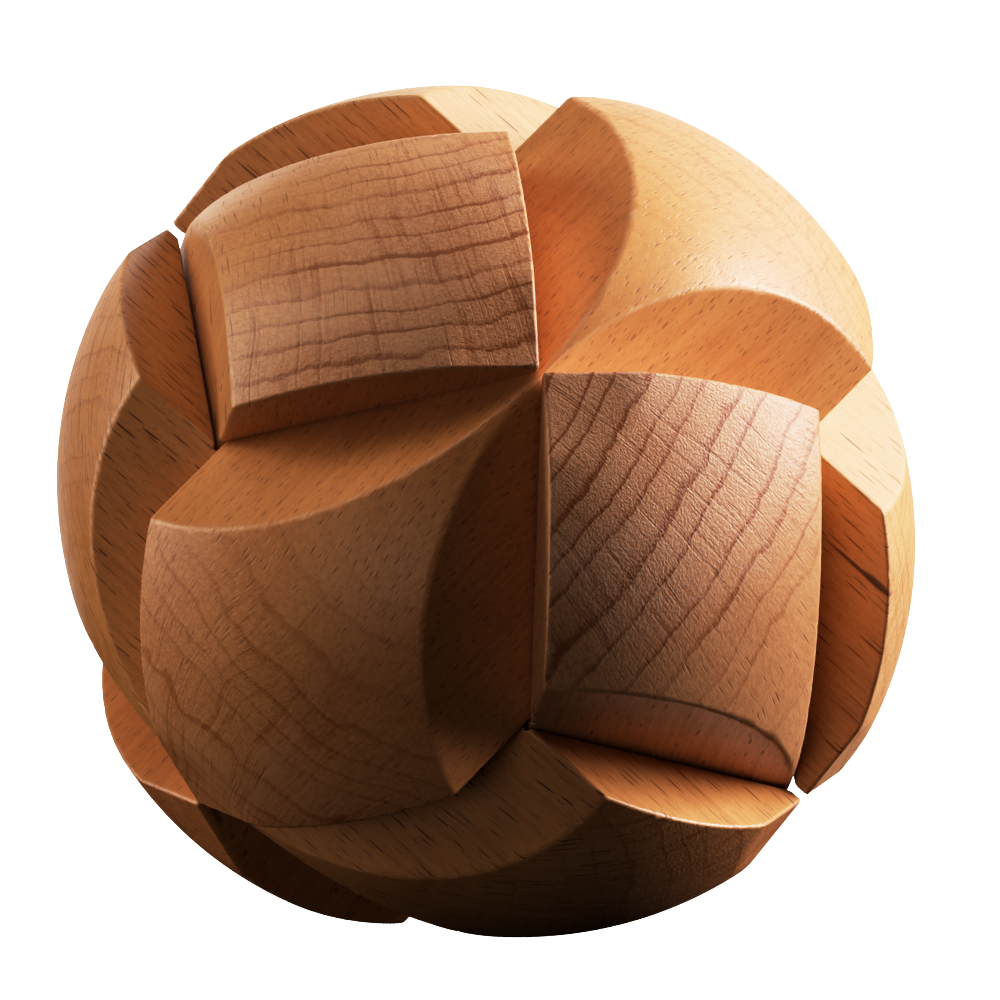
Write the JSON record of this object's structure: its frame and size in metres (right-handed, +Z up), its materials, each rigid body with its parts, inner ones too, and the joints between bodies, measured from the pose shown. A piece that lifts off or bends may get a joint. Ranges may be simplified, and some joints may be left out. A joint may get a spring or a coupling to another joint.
{
  "type": "burr puzzle",
  "caption": "Wooden ball burr puzzle: interlocking square beech bars crossed in pairs and turned to a ball outside, locked by a plain key bar that slides out.",
  "frame": {"origin": "centre of the ball, where the inner edges of all the bars meet", "axes": "+Z up along the ball's threefold axis, from the three corners that it stands on; the two long bars run along (0.707, 0.408, 0.577)"},
  "size_m": [0.0744, 0.0754, 0.073],
  "materials": {
    "beech": "sanded beech with a satin wax finish"
  },
  "bodies": {
    "key_bar": {"key_bar": "beech"},
    "base_bar": {"base_bar": "beech"},
    "lower_cross_bar": {"lower_cross_bar": "beech"},
    "upper_cross_bar": {"upper_cross_bar": "beech"},
    "right_side_bar": {"right_side_bar": "beech"},
    "left_side_bar": {"left_side_bar": "beech"}
  },
  "joints": [
    {"name": "base_bar_spread", "type": "slide", "parent": "lower_cross_bar", "child": "base_bar", "axis": [-0.7071, 0.4082, 0.5774], "range_m": [0, 0.02]},
    {"name": "right_side_bar_spread", "type": "slide", "parent": "lower_cross_bar", "child": "right_side_bar", "axis": [0, 0, 1], "range_m": [0, 0.0347]},
    {"name": "left_side_bar_spread", "type": "slide", "parent": "lower_cross_bar", "child": "left_side_bar", "axis": [-0.8165, -0.4714, 0.3333], "range_m": [0, 0.0347]},
    {"name": "upper_cross_bar_spread", "type": "slide", "parent": "lower_cross_bar", "child": "upper_cross_bar", "axis": [-0.7071, 0.4082, 0.5774], "range_m": [0, 0.0401]},
    {"name": "key_bar_slide", "type": "slide", "parent": "right_side_bar", "child": "key_bar", "axis": [0.7071, 0.4082, 0.5774], "range_m": [0, 0.08]}
  ],
  "couplings": [
    {"joint": "right_side_bar_spread", "follows": "base_bar_spread", "ratio": 1.7321},
    {"joint": "left_side_bar_spread", "follows": "base_bar_spread", "ratio": 1.7321},
    {"joint": "upper_cross_bar_spread", "follows": "base_bar_spread", "ratio": 2}
  ]
}
